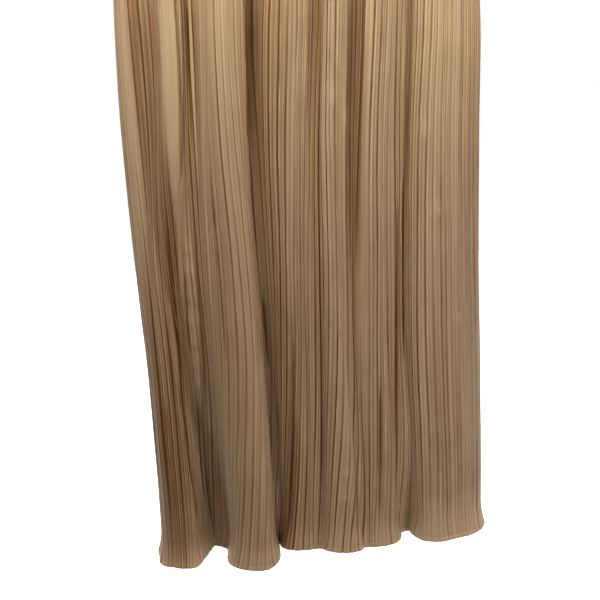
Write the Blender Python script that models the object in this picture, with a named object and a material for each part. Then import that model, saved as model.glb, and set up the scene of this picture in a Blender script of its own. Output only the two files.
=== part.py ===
"""Pleated maxi skirt in its worn form, hollow, with nobody inside.

Metres, +Z up. The origin is the centre of the waist opening, level with the band's top edge.
The front faces -Y, and heights are written as drops below the origin.
A place round the skirt is counted in pleats: 0 at the seam on the -X side, then over the front
to the +X seam at PLEATS, then over the back to 2 * PLEATS, which is the first seam again.
"""

import random
from collections import namedtuple

import bmesh
import bpy
import numpy as np

# Driving dimensions. PLEAT_FOOT is how far across a pleat its lowest line lies, and NEARBY is how
# far to either side of a place, in pleats or degrees, the run of the cloth is read.
LENGTH = 0.970
BAND_HEIGHT = 0.040
BAND_THICKNESS = 0.0032
CHANNEL_BULGE = 0.0012
CHANNELS = 3
CLOTH = 0.0020
SEAM_GAP = 0.0003
PLEATS = 90
PLEAT_RELIEF = 0.0018
BAND_PLEAT_RELIEF = 0.0012
PLEAT_FOOT = 0.70
PLEAT_UNEVENNESS = 0.34
HEM_FLARE = 0.006
FLARE_RUN = 0.034
BAND_COLUMNS = 60
GIRTH_STEPS = 180
NEARBY = 0.04
MM = 0.001

# The body of the skirt at each drop: half its width, its depth before and behind the origin, how
# square its corners are (2 is an ellipse), and how far its middle stands towards +X.
Section = namedtuple("Section", "drop half_width front back squareness middle")
SECTIONS = (
    Section(0.000, 0.1370, 0.098, 0.102, 2.0, 0.0000),
    Section(0.040, 0.1410, 0.101, 0.107, 2.0, 0.0000),
    Section(0.110, 0.1680, 0.113, 0.124, 2.1, 0.0000),
    Section(0.220, 0.1880, 0.117, 0.134, 2.2, 0.0000),
    Section(0.365, 0.1990, 0.115, 0.128, 2.3, 0.0000),
    Section(0.480, 0.2000, 0.108, 0.121, 2.4, -0.0015),
    Section(0.620, 0.1980, 0.098, 0.112, 2.6, 0.0000),
    Section(0.740, 0.1955, 0.088, 0.104, 2.8, 0.0035),
    Section(0.860, 0.1935, 0.080, 0.098, 3.0, 0.0060),
    Section(0.970, 0.1930, 0.074, 0.094, 3.0, 0.0065),
)

# Drops at which the large folds are given. At the band the cloth is gathered evenly instead.
LEVELS = (0.045, 0.365, 0.640, 0.970)
FORMED = (0.0, 0.70, 0.85, 1.0)

# The crests and valleys of the large folds, one row each, in order round the skirt: the pleat
# that lies on it down to the hip and the ones at knee and hem, its bearing (degrees from the -X
# side over the front) and how far it stands out from the section (millimetres, inwards below 0)
# at hip, knee and hem, and the form of its sides: steep makes a side upright, and tuck moves it
# towards the valley. FORMED is how much of that form each level has.
FOLD_COLUMNS = (
    "pleat", "knee_pleat", "hem_pleat", "hip_deg", "knee_deg", "hem_deg",
    "hip_out", "knee_out", "hem_out", "steep", "tuck",
)
Fold = namedtuple("Fold", ("name",) + FOLD_COLUMNS)
FOLDS = (
    Fold("left seam", 0, 0.0, 0.0, 0.0, 0.0, 0.0, 0, 0, 0, 0.00, 0.00),
    Fold("left lobe edge", 7, 5.0, 3.5, 15.4, 10.5, 9.0, 2, 3, 13, 0.02, 0.00),
    Fold("left hollow", 11, 8.2, 5.4, 24.1, 16.0, 13.0, -14, -3, 22, 0.02, 0.00),
    Fold("left lobe", 15, 11.8, 8.2, 30.9, 21.0, 16.0, 1, -9, 18, 0.02, 0.00),
    Fold("left valley", 22, 19.0, 20.8, 38.0, 28.6, 21.8, -14, -6, -39, 0.14, -0.11),
    Fold("centre lobe", 31, 29.4, 33.2, 51.6, 45.0, 40.2, 3, 2, 17, 0.02, 0.00),
    Fold("centre valley", 38, 37.0, 40.3, 60.3, 56.0, 49.1, -19, -16, -45, 0.14, -0.30),
    Fold("middle crest", 44, 44.6, 47.6, 78.2, 72.0, 66.8, 1, -3, -20, 0.02, 0.00),
    Fold("middle step", 48, 48.4, 50.4, 89.7, 83.0, 76.6, -6, -4, -21, 0.05, -0.10),
    Fold("middle lobe", 53, 53.0, 57.0, 98.2, 98.0, 107.6, 1, 0, -4, 0.02, 0.00),
    Fold("right step", 56, 55.4, 59.0, 108.7, 105.5, 119.5, -11, -7, -13, 0.08, -0.10),
    Fold("right crest", 60, 59.6, 61.4, 119.3, 118.0, 129.3, 2, 1, -11, 0.02, 0.00),
    Fold("right valley", 65, 64.4, 66.2, 130.3, 131.5, 145.1, -9, -7, -38, 0.12, -0.18),
    Fold("right lobe", 73, 73.2, 73.6, 144.5, 148.0, 156.0, 2, 2, 2, 0.02, 0.00),
    Fold("right lobe edge", 82, 82.0, 82.0, 163.0, 165.0, 167.0, 1, 2, 8, 0.02, 0.00),
    Fold("right seam", 90, 90.0, 90.0, 180.0, 180.0, 180.0, 0, 0, 1, 0.00, 0.00),
    Fold("back lobe 1", 99, 99.8, 100.6, 198.0, 197.5, 197.0, 2, 4, 9, 0.02, 0.00),
    Fold("back valley 1", 106, 106.6, 107.8, 208.0, 207.5, 207.0, -14, -12, -30, 0.12, -0.20),
    Fold("back lobe 2", 115, 115.4, 116.2, 224.0, 224.5, 225.0, 2, 3, 11, 0.02, 0.00),
    Fold("back valley 2", 121, 121.4, 122.6, 236.0, 236.0, 236.0, -9, -10, -28, 0.12, -0.16),
    Fold("back lobe 3", 128, 127.6, 128.4, 252.0, 253.0, 254.0, 2, 2, 6, 0.02, 0.00),
    Fold("back valley 3", 134, 133.4, 134.6, 265.0, 266.0, 268.0, -18, -14, -34, 0.13, -0.24),
    Fold("back lobe 4", 141, 140.6, 141.2, 282.0, 283.0, 284.0, 2, 3, 10, 0.02, 0.00),
    Fold("back valley 4", 146, 145.6, 146.0, 295.0, 296.0, 297.0, -10, -7, -18, 0.08, -0.10),
    Fold("back lobe 5", 152, 151.8, 151.2, 309.0, 310.0, 310.0, 1, 2, 5, 0.02, 0.00),
    Fold("back valley 5", 159, 158.8, 157.4, 322.0, 323.0, 324.0, -16, -12, -32, 0.12, -0.20),
    Fold("back lobe 6", 170, 169.6, 168.4, 340.0, 341.0, 343.0, 2, 4, 10, 0.02, 0.00),
    Fold("left seam again", 180, 180.0, 180.0, 360.0, 360.0, 360.0, 0, 0, 0, 0.00, 0.00),
)

# Broad swells that ease or sharpen the folds: the pleat and drop of the middle, half the width in
# pleats, half the length in metres, and how far the cloth stands out (millimetres).
Swell = namedtuple("Swell", "name pleat drop half_width half_length out")
SWELLS = (
    Swell("right valley eased", 65.8, 0.820, 3.2, 0.090, 9.0),
    Swell("centre valley eased", 40.0, 0.870, 2.8, 0.070, 7.0),
    Swell("left lobe side", 13.2, 0.985, 2.6, 0.050, 12.0),
    Swell("left valley floor", 17.8, 0.985, 2.2, 0.045, -7.0),
    Swell("right valley side", 69.0, 0.985, 2.2, 0.040, -5.0),
)

# Rings of the panels, as drops below the band's lower edge or heights above the hem.
RINGS_BELOW_BAND = (0.0003, 0.045, 0.100, 0.180, 0.300, 0.460)
RINGS_ABOVE_HEM = (0.310, 0.170, 0.070, 0.018, 0.0)

CHAMPAGNE = (0.37, 0.24, 0.14, 1.0)
BRONZE = (0.30, 0.19, 0.11, 1.0)


def through(places, values, place):
    """The smooth curve through values at increasing places, read at one place."""
    slopes = np.gradient(np.asarray(values, float), np.asarray(places, float), axis=0)
    step = int(np.clip(np.searchsorted(places, place) - 1, 0, len(places) - 2))
    run = places[step + 1] - places[step]
    t = np.clip((place - places[step]) / run, 0.0, 1.0)
    start, end = np.asarray(values[step], float), np.asarray(values[step + 1], float)
    return (
        (2 * t**3 - 3 * t**2 + 1) * start
        + (t**3 - 2 * t**2 + t) * run * slopes[step]
        + (3 * t**2 - 2 * t**3) * end
        + (t**3 - t**2) * run * slopes[step + 1]
    )


def section_at(drop):
    """(half width, front depth, back depth, squareness, middle) of the body at a drop."""
    return through([row.drop for row in SECTIONS], [row[1:] for row in SECTIONS], drop)


def body_points(bearings, drop):
    """The plain section, with no folds, at bearings in degrees."""
    half_width, front, back, squareness, middle = section_at(drop)
    across = np.cos(np.radians(bearings))
    forward = np.sin(np.radians(bearings))
    depth = np.where(forward > 0, front, back)
    reach = np.abs(across / half_width) ** squareness + np.abs(forward / depth) ** squareness
    radius = reach ** (-1 / squareness)
    return np.stack([middle - radius * across, -radius * forward], axis=-1)


def outward(before, after):
    """Unit vectors square to the way from one point to the next, on the outer side."""
    way = after - before
    square = np.stack([way[..., 1], -way[..., 0]], axis=-1)
    return square / np.linalg.norm(square, axis=-1, keepdims=True)


def even_bearings(pleats, drop):
    """Bearings that share the section's girth out evenly, with the seams at 0 and 180 degrees."""
    found = np.empty(len(pleats))
    for side in (0, 1):
        bearings = np.linspace(180.0 * side, 180.0 * (side + 1), GIRTH_STEPS + 1)
        steps = np.linalg.norm(np.diff(body_points(bearings, drop), axis=0), axis=1)
        girth = np.concatenate([[0.0], np.cumsum(steps)])
        here = (pleats >= PLEATS * side) & (pleats <= PLEATS * (side + 1))
        share = (pleats[here] - PLEATS * side) / PLEATS
        found[here] = np.interp(share, girth / girth[-1], bearings)
    return found


def cloth_points(pleats, drop):
    """The middle of the cloth with its large folds and no pleats, at places counted in pleats."""
    pleats = np.clip(np.asarray(pleats, float), 0.0, 2.0 * PLEATS)
    folds = {column: np.array([getattr(fold, column) for fold in FOLDS]) for column in FOLD_COLUMNS}
    knots = through(
        LEVELS, [folds["pleat"], folds["pleat"], folds["knee_pleat"], folds["hem_pleat"]], drop
    )
    gathered = even_bearings(folds["pleat"], LEVELS[0])
    bearings = through(
        LEVELS, [gathered, folds["hip_deg"], folds["knee_deg"], folds["hem_deg"]], drop
    )
    outs = MM * through(
        LEVELS, [0 * knots, folds["hip_out"], folds["knee_out"], folds["hem_out"]], drop
    )
    formed = np.interp(drop, LEVELS, FORMED)
    steep = folds["steep"] * formed
    tuck = folds["tuck"] * formed
    left = np.clip(np.searchsorted(knots, pleats) - 1, 0, len(knots) - 2)
    right = left + 1
    t = (pleats - knots[left]) / (knots[right] - knots[left])
    moved = (
        t
        + np.maximum(steep[left], steep[right]) * np.sin(2 * np.pi * t)
        + (tuck[left] - tuck[right]) * np.sin(np.pi * t) ** 2
    )
    bearing = bearings[left] + (bearings[right] - bearings[left]) * moved
    out = outs[left] + (outs[right] - outs[left]) * (1 - np.cos(np.pi * t)) / 2
    for swell in SWELLS:
        off = (pleats - swell.pleat) / swell.half_width
        low = (drop - swell.drop) / swell.half_length
        out = out + swell.out * MM * np.exp(-off * off - low * low)
    side = outward(body_points(bearing - NEARBY, drop), body_points(bearing + NEARBY, drop))
    return body_points(bearing, drop) + side * out[:, None]


def flare_at(drop):
    """How far the last stretch above the hem turns outwards."""
    return HEM_FLARE * max(0.0, (drop - LENGTH + FLARE_RUN) / FLARE_RUN) ** 2


def relief_at(drop):
    """How far a pleat's raised edge stands above its foot."""
    return np.interp(drop, (BAND_HEIGHT, LEVELS[1]), (BAND_PLEAT_RELIEF, PLEAT_RELIEF))


def pleat_columns(first, seed):
    """(place, height) of each raised edge and foot of a panel's pleats, which are uneven."""
    draw = random.Random(seed)
    widths = [1 + PLEAT_UNEVENNESS * draw.uniform(-1, 1) for _ in range(PLEATS)]
    edges = first + np.concatenate([[0.0], np.cumsum(widths)]) * PLEATS / sum(widths)
    columns = []
    for edge, after in zip(edges[:-1], edges[1:]):
        columns.append((edge, 0.5))
        columns.append((edge + PLEAT_FOOT * (after - edge), -0.5))
    columns.append((edges[-1], 0.5))
    return np.array(columns)


def panel_rings(first, seed):
    """Outer and inner points of a panel, ring by ring from the band to the hem."""
    columns = pleat_columns(first, seed)
    places = columns[:, 0]
    drops = [BAND_HEIGHT + below for below in RINGS_BELOW_BAND]
    drops += [LENGTH - above for above in RINGS_ABOVE_HEM]
    before = np.maximum(places - NEARBY, first)
    after = np.minimum(places + NEARBY, first + PLEATS)
    outer, inner = [], []
    for drop in drops:
        side = outward(cloth_points(before, drop), cloth_points(after, drop))
        cloth = cloth_points(places, drop)
        # The end columns stand half the seam's gap inside the panel.
        for end, towards in ((0, 1), (-1, -1)):
            along = np.array([-side[end][1], side[end][0]])
            cloth[end] += along * towards * SEAM_GAP / 2
        height = columns[:, 1] * relief_at(drop) + flare_at(drop)
        for rings, depth in ((outer, 0.0), (inner, CLOTH)):
            plan = cloth + side * (height - depth)[:, None]
            rings.append([(x, y, -drop) for x, y in plan])
    return outer, inner


def add_object(name, build, colour, roughness):
    """A named mesh object from a bmesh, with its own material."""
    bmesh.ops.triangulate(build, faces=build.faces)
    mesh = bpy.data.meshes.new(name)
    build.to_mesh(mesh)
    build.free()
    mesh.shade_smooth()
    material = bpy.data.materials.new(name)
    material.use_nodes = True
    shader = material.node_tree.nodes["Principled BSDF"]
    shader.inputs["Base Color"].default_value = colour
    shader.inputs["Roughness"].default_value = roughness
    shader.inputs["Metallic"].default_value = 0.0
    mesh.materials.append(material)
    made = bpy.data.objects.new(name, mesh)
    bpy.context.scene.collection.objects.link(made)
    return made


def add_panel(name, first, seed):
    """One pleated width of cloth, from seam to seam."""
    outer, inner = panel_rings(first, seed)
    build = bmesh.new()
    outer = [[build.verts.new(point) for point in ring] for ring in outer]
    inner = [[build.verts.new(point) for point in ring] for ring in inner]
    last = len(outer[0]) - 1
    for above, below in zip(range(len(outer) - 1), range(1, len(outer))):
        for left in range(last):
            right = left + 1
            build.faces.new(
                (outer[above][left], outer[below][left], outer[below][right], outer[above][right])
            )
            build.faces.new(
                (inner[above][right], inner[below][right], inner[below][left], inner[above][left])
            )
        build.faces.new((inner[above][0], inner[below][0], outer[below][0], outer[above][0]))
        build.faces.new(
            (outer[above][last], outer[below][last], inner[below][last], inner[above][last])
        )
    for left in range(last):
        right = left + 1
        build.faces.new((outer[0][right], inner[0][right], inner[0][left], outer[0][left]))
        build.faces.new((outer[-1][left], inner[-1][left], inner[-1][right], outer[-1][right]))
    return add_object(name, build, CHAMPAGNE, 0.42)


def add_waistband(name):
    """The elastic band: a closed ring with rounded channels, one above another, on its outside."""
    channel = BAND_HEIGHT / CHANNELS
    profile = []
    for row in range(2 * CHANNELS + 1):
        profile.append((row * channel / 2, CHANNEL_BULGE * (row % 2)))
    profile += [(BAND_HEIGHT, -BAND_THICKNESS), (0.0, -BAND_THICKNESS)]
    bearings = np.arange(BAND_COLUMNS) * 360.0 / BAND_COLUMNS
    before = bearings - NEARBY
    after = bearings + NEARBY
    build = bmesh.new()
    rings = []
    for drop, out in profile:
        side = outward(body_points(before, drop), body_points(after, drop))
        plan = body_points(bearings, drop) + side * (out + BAND_THICKNESS / 2)
        rings.append([build.verts.new((x, y, -drop)) for x, y in plan])
    for ring, following in zip(rings, rings[1:] + rings[:1]):
        for left in range(BAND_COLUMNS):
            right = (left + 1) % BAND_COLUMNS
            build.faces.new((ring[left], following[left], following[right], ring[right]))
    return add_object(name, build, BRONZE, 0.5)


def main():
    for old in list(bpy.data.objects):
        bpy.data.objects.remove(old, do_unlink=True)
    add_panel("front_panel", 0, seed=11)
    add_panel("back_panel", PLEATS, seed=23)
    add_waistband("waistband")


main()
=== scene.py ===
"""Looks of the pleated maxi skirt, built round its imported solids.

Metres, +Z up. The front faces -Y, and heights are written as drops below the waist's edge.
A place round the skirt is counted in pleats, as in the part's source: 0 at the seam on the -X
side, then over the front to the +X seam at PLEATS, then over the back to 2 * PLEATS.
"""

import math
import random
from collections import namedtuple

import bpy
import numpy as np
from mathutils import Matrix, Vector


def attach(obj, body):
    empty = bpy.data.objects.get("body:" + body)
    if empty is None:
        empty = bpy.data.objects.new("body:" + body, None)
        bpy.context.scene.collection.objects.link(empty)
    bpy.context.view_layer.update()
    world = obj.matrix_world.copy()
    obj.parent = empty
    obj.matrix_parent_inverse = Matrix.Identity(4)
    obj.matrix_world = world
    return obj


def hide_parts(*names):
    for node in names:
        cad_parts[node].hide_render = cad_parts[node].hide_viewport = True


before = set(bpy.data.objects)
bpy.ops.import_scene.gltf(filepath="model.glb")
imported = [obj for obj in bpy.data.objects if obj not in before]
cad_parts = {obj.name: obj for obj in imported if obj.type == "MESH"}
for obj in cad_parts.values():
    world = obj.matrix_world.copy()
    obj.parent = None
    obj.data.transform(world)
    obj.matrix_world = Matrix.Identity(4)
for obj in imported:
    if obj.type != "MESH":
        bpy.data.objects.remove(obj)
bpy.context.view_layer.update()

MM = 0.001


def named(kind, lines):
    """A table's lines as rows with named columns."""
    return tuple(kind(*line) for line in lines)


def grouped(kind, groups):
    """The same for a table in groups."""
    return {name: named(kind, lines) for name, lines in groups.items()}


# Sizes and folds of the solids, repeated from the part's source. Only the swells go further.
LENGTH = 0.970
BAND_HEIGHT = 0.040
BAND_THICKNESS = 0.0032
CHANNELS = 3
SEAM_GAP = 0.0003
PLEATS = 90
PLEAT_UNEVENNESS = 0.34
HEM_FLARE = 0.006
FLARE_RUN = 0.034
GIRTH_STEPS = 180
NEARBY = 0.04

Section = namedtuple("Section", "drop half_width front back squareness middle")
SECTIONS = named(Section, (
    (0.0, 0.137, 0.098, 0.102, 2.0, 0.0),
    (0.04, 0.141, 0.101, 0.107, 2.0, 0.0),
    (0.11, 0.168, 0.113, 0.124, 2.1, 0.0),
    (0.22, 0.188, 0.117, 0.134, 2.2, 0.0),
    (0.365, 0.199, 0.115, 0.128, 2.3, 0.0),
    (0.48, 0.2, 0.108, 0.121, 2.4, -0.0015),
    (0.62, 0.198, 0.098, 0.112, 2.6, 0.0),
    (0.74, 0.1955, 0.088, 0.104, 2.8, 0.0035),
    (0.86, 0.1935, 0.08, 0.098, 3.0, 0.006),
    (0.97, 0.193, 0.074, 0.094, 3.0, 0.0065),
))

LEVELS = (0.045, 0.365, 0.640, 0.970)
FORMED = (0.0, 0.70, 0.85, 1.0)

FOLD_COLUMNS = (
    "pleat", "knee_pleat", "hem_pleat", "hip_deg", "knee_deg", "hem_deg",
    "hip_out", "knee_out", "hem_out", "steep", "tuck",
)
Fold = namedtuple("Fold", ("name",) + FOLD_COLUMNS)
FOLDS = named(Fold, (
    ("left seam", 0, 0.0, 0.0, 0.0, 0.0, 0.0, 0, 0, 0, 0.0, 0.0),
    ("left lobe edge", 7, 5.0, 3.5, 15.4, 10.5, 9.0, 2, 3, 13, 0.02, 0.0),
    ("left hollow", 11, 8.2, 5.4, 24.1, 16.0, 13.0, -14, -3, 22, 0.02, 0.0),
    ("left lobe", 15, 11.8, 8.2, 30.9, 21.0, 16.0, 1, -9, 18, 0.02, 0.0),
    ("left valley", 22, 19.0, 20.8, 38.0, 28.6, 21.8, -14, -6, -39, 0.14, -0.11),
    ("centre lobe", 31, 29.4, 33.2, 51.6, 45.0, 40.2, 3, 2, 17, 0.02, 0.0),
    ("centre valley", 38, 37.0, 40.3, 60.3, 56.0, 49.1, -19, -16, -45, 0.14, -0.3),
    ("middle crest", 44, 44.6, 47.6, 78.2, 72.0, 66.8, 1, -3, -20, 0.02, 0.0),
    ("middle step", 48, 48.4, 50.4, 89.7, 83.0, 76.6, -6, -4, -21, 0.05, -0.1),
    ("middle lobe", 53, 53.0, 57.0, 98.2, 98.0, 107.6, 1, 0, -4, 0.02, 0.0),
    ("right step", 56, 55.4, 59.0, 108.7, 105.5, 119.5, -11, -7, -13, 0.08, -0.1),
    ("right crest", 60, 59.6, 61.4, 119.3, 118.0, 129.3, 2, 1, -11, 0.02, 0.0),
    ("right valley", 65, 64.4, 66.2, 130.3, 131.5, 145.1, -9, -7, -38, 0.12, -0.18),
    ("right lobe", 73, 73.2, 73.6, 144.5, 148.0, 156.0, 2, 2, 2, 0.02, 0.0),
    ("right lobe edge", 82, 82.0, 82.0, 163.0, 165.0, 167.0, 1, 2, 8, 0.02, 0.0),
    ("right seam", 90, 90.0, 90.0, 180.0, 180.0, 180.0, 0, 0, 1, 0.0, 0.0),
    ("back lobe 1", 99, 99.8, 100.6, 198.0, 197.5, 197.0, 2, 4, 9, 0.02, 0.0),
    ("back valley 1", 106, 106.6, 107.8, 208.0, 207.5, 207.0, -14, -12, -30, 0.12, -0.2),
    ("back lobe 2", 115, 115.4, 116.2, 224.0, 224.5, 225.0, 2, 3, 11, 0.02, 0.0),
    ("back valley 2", 121, 121.4, 122.6, 236.0, 236.0, 236.0, -9, -10, -28, 0.12, -0.16),
    ("back lobe 3", 128, 127.6, 128.4, 252.0, 253.0, 254.0, 2, 2, 6, 0.02, 0.0),
    ("back valley 3", 134, 133.4, 134.6, 265.0, 266.0, 268.0, -18, -14, -34, 0.13, -0.24),
    ("back lobe 4", 141, 140.6, 141.2, 282.0, 283.0, 284.0, 2, 3, 10, 0.02, 0.0),
    ("back valley 4", 146, 145.6, 146.0, 295.0, 296.0, 297.0, -10, -7, -18, 0.08, -0.1),
    ("back lobe 5", 152, 151.8, 151.2, 309.0, 310.0, 310.0, 1, 2, 5, 0.02, 0.0),
    ("back valley 5", 159, 158.8, 157.4, 322.0, 323.0, 324.0, -16, -12, -32, 0.12, -0.2),
    ("back lobe 6", 170, 169.6, 168.4, 340.0, 341.0, 343.0, 2, 4, 10, 0.02, 0.0),
    ("left seam again", 180, 180.0, 180.0, 360.0, 360.0, 360.0, 0, 0, 0, 0.0, 0.0),
))

# Broad swells that ease or sharpen the folds, some by 2 to 6 mm more than in the solids: the pleat
# and drop of the middle, half the width in pleats, half the length in metres, and how far the
# cloth stands out (millimetres).
Swell = namedtuple("Swell", "name pleat drop half_width half_length out")
SWELLS = named(Swell, (
    ("right valley eased", 65.8, 0.83, 3.2, 0.1, 11.0),
    ("centre valley eased", 40.3, 0.88, 3.0, 0.075, 11.0),
    ("left valley eased", 18.8, 0.87, 2.6, 0.055, 6.0),
    ("left lobe side", 14.0, 0.985, 2.6, 0.048, 14.0),
    ("left valley floor", 17.8, 0.985, 2.2, 0.045, -7.0),
    ("right valley side", 69.0, 0.985, 2.2, 0.04, -5.0),
))

# The cloth's own pleats. RELIEF is how far a crest stands above its foot, at drops from the band
# to the hem.
RELIEF_DROPS = (0.040, 0.200, 0.365, 0.600, 0.780, 0.900, 0.970)
RELIEF = (0.0014, 0.0016, 0.0018, 0.0015, 0.0022, 0.0023, 0.0019)

# The columns of one pleat: where each lies across it, how high it stands between the face and the
# foot of its narrow crease, how it moves in a pleat with a second crease, how it tilts, how
# much painted highlight it gets, and how much painted shade it gets as the inside of a crease.
Column = namedtuple("Column", "across height second lean lit foot")
COLUMNS = named(Column, (
    (0.0, 0.22, 0.0, -0.5, 0.7, 0.15),
    (0.09, 0.4, 0.0, -0.4, 1.0, 0.0),
    (0.22, 0.28, 0.06, -0.28, 0.1, 0.0),
    (0.35, 0.28, 0.02, -0.14, 0.0, 0.1),
    (0.42, 0.26, -0.85, -0.07, 0.0, 0.25),
    (0.49, 0.24, 0.1, 0.02, 0.5, 0.0),
    (0.63, 0.22, 0.06, 0.18, 0.0, 0.0),
    (0.76, 0.2, 0.0, 0.34, 0.0, 0.1),
    (0.86, 0.06, 0.0, 0.42, 0.0, 0.6),
    (0.93, -0.8, 0.0, 0.0, 0.0, 1.0),
))

# Edges where a fold lies over the next one: the cloth rises towards the edge, falls away sharply
# and comes back. Each has its place in pleats at some drops, rise and fall in millimetres, and the
# two runs in pleats. A higher late keeps the cloth down for longer.
Edge = namedtuple("Edge", "drop pleat rise fall rise_run fall_run late")
EDGES = grouped(Edge, {
    "left facet": (
        (0.2, 13.9, 0, 0, 4, 3, 1),
        (0.3, 13.9, -1.2, -0.8, 4, 3, 1),
        (0.4, 13.9, -1.6, -1, 4, 3, 1),
        (0.47, 14.1, -0.8, -0.5, 4, 3, 1),
        (0.53, 14.3, 0, 0, 4, 3, 1),
    ),
    "left": (
        (0.2, 17.3, 0, 0, 3.2, 5, 1.5),
        (0.28, 17.3, 1.5, 2.6, 3.2, 4.2, 1.5),
        (0.367, 17.4, 2.5, 3.8, 3.2, 4.4, 1.6),
        (0.436, 17.4, 2, 3.4, 3, 4.2, 1.6),
        (0.487, 18, 1.2, 3.2, 2.8, 3.6, 1.5),
        (0.538, 18.8, 0.4, 1.4, 2.6, 3, 1.5),
        (0.59, 19.2, 0, 0, 2.6, 3, 1.5),
    ),
    "left lower": (
        (0.5, 12.4, 0, 0, 2.6, 3, 1.2),
        (0.58, 12.6, 0.8, 3, 2.6, 3.2, 1.2),
        (0.622, 12.6, 1, 3.4, 2.6, 3.2, 1.2),
        (0.706, 11.9, 1, 3, 2.4, 3, 1.2),
        (0.77, 11.6, 0.9, 2.4, 2.2, 2.6, 1.2),
        (0.83, 11.9, 0.8, 2.2, 2, 2.4, 1.2),
        (0.871, 12.8, 0.7, 2, 2, 2.4, 1.2),
        (0.94, 14, 0.4, 1.2, 2, 2.2, 1.2),
        (0.962, 14.4, 0, 0, 2, 2.2, 1.2),
    ),
    "left tip": (
        (0.76, 19.6, 0, 0, 2, 2.6, 1.5),
        (0.81, 19.5, 1, 1.6, 2, 2.8, 1.5),
        (0.886, 19.4, 1.6, 2.6, 2.4, 3.2, 1.5),
        (0.922, 18, 1.8, 3.4, 2.4, 3.6, 1.5),
        (0.938, 17, 0, 0, 2.4, 3.6, 1.5),
    ),
    "centre": (
        (0.23, 34.4, 0, 0, 4, 6, 1.4),
        (0.32, 34.4, 1.6, 3, 4, 7.4, 1.8),
        (0.37, 34.5, 2, 4.4, 4, 7.8, 1.8),
        (0.439, 35.4, 1.8, 4.4, 4, 7.4, 1.8),
        (0.574, 36.1, 1.4, 3.6, 4, 6.8, 1.8),
        (0.664, 36.8, 1.1, 2.6, 4, 6.4, 1.8),
        (0.709, 37, 1, 2, 4, 6.4, 1.8),
        (0.775, 38.9, 0.8, 1.2, 4, 6, 1.8),
        (0.841, 39.8, 0.6, 0.9, 4, 5.4, 1.8),
        (0.91, 40.4, 0.4, 0.6, 4, 4.6, 1.8),
        (0.955, 39.6, 0, 0, 4, 3.6, 1.4),
    ),
    "middle": (
        (0.23, 46.8, 0, 0, 3, 3.8, 3),
        (0.31, 46.9, 1, 2.6, 3, 3.8, 3),
        (0.373, 47.1, 1.4, 4, 3, 3.8, 3),
        (0.463, 47.7, 0.9, 2.6, 3, 3.7, 3),
        (0.52, 47.7, 0.4, 1, 3, 3.4, 3),
        (0.58, 47.7, 0, 0, 3, 3, 3),
    ),
    "right of middle": (
        (0.21, 55.8, 0, 0, 3.2, 2.4, 3),
        (0.31, 55.8, 1.5, 3.6, 3.2, 2.4, 3),
        (0.373, 55.9, 2, 5, 3.2, 2.4, 3),
        (0.463, 56.1, 2, 5, 3.2, 2.6, 3),
        (0.577, 56.4, 1.4, 4, 3.2, 2.2, 2.5),
        (0.655, 56.5, 0.9, 2.6, 3.2, 2, 2),
        (0.74, 56.4, 0.4, 1.2, 3.2, 2, 2),
        (0.82, 56.4, 0, 0, 3.2, 2, 2),
    ),
    "right": (
        (0.22, 66, 0, 0, 3, 2.2, 1.6),
        (0.31, 66, 1, 2.6, 3, 2.2, 1.6),
        (0.373, 66.1, 1.4, 3.8, 3, 2.2, 1.6),
        (0.466, 66.7, 1.2, 3.6, 3, 2.8, 1.6),
        (0.56, 66.1, 0.8, 2.4, 3, 3.2, 1.6),
        (0.66, 65.8, 0.5, 1.4, 3, 3.2, 1.6),
        (0.76, 65.6, 0.2, 0.8, 3, 3, 1.6),
        (0.9, 65.4, 0.2, 0.8, 3, 3, 1.6),
        (0.955, 65.4, 0, 0, 3, 3, 1.6),
    ),
})
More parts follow.
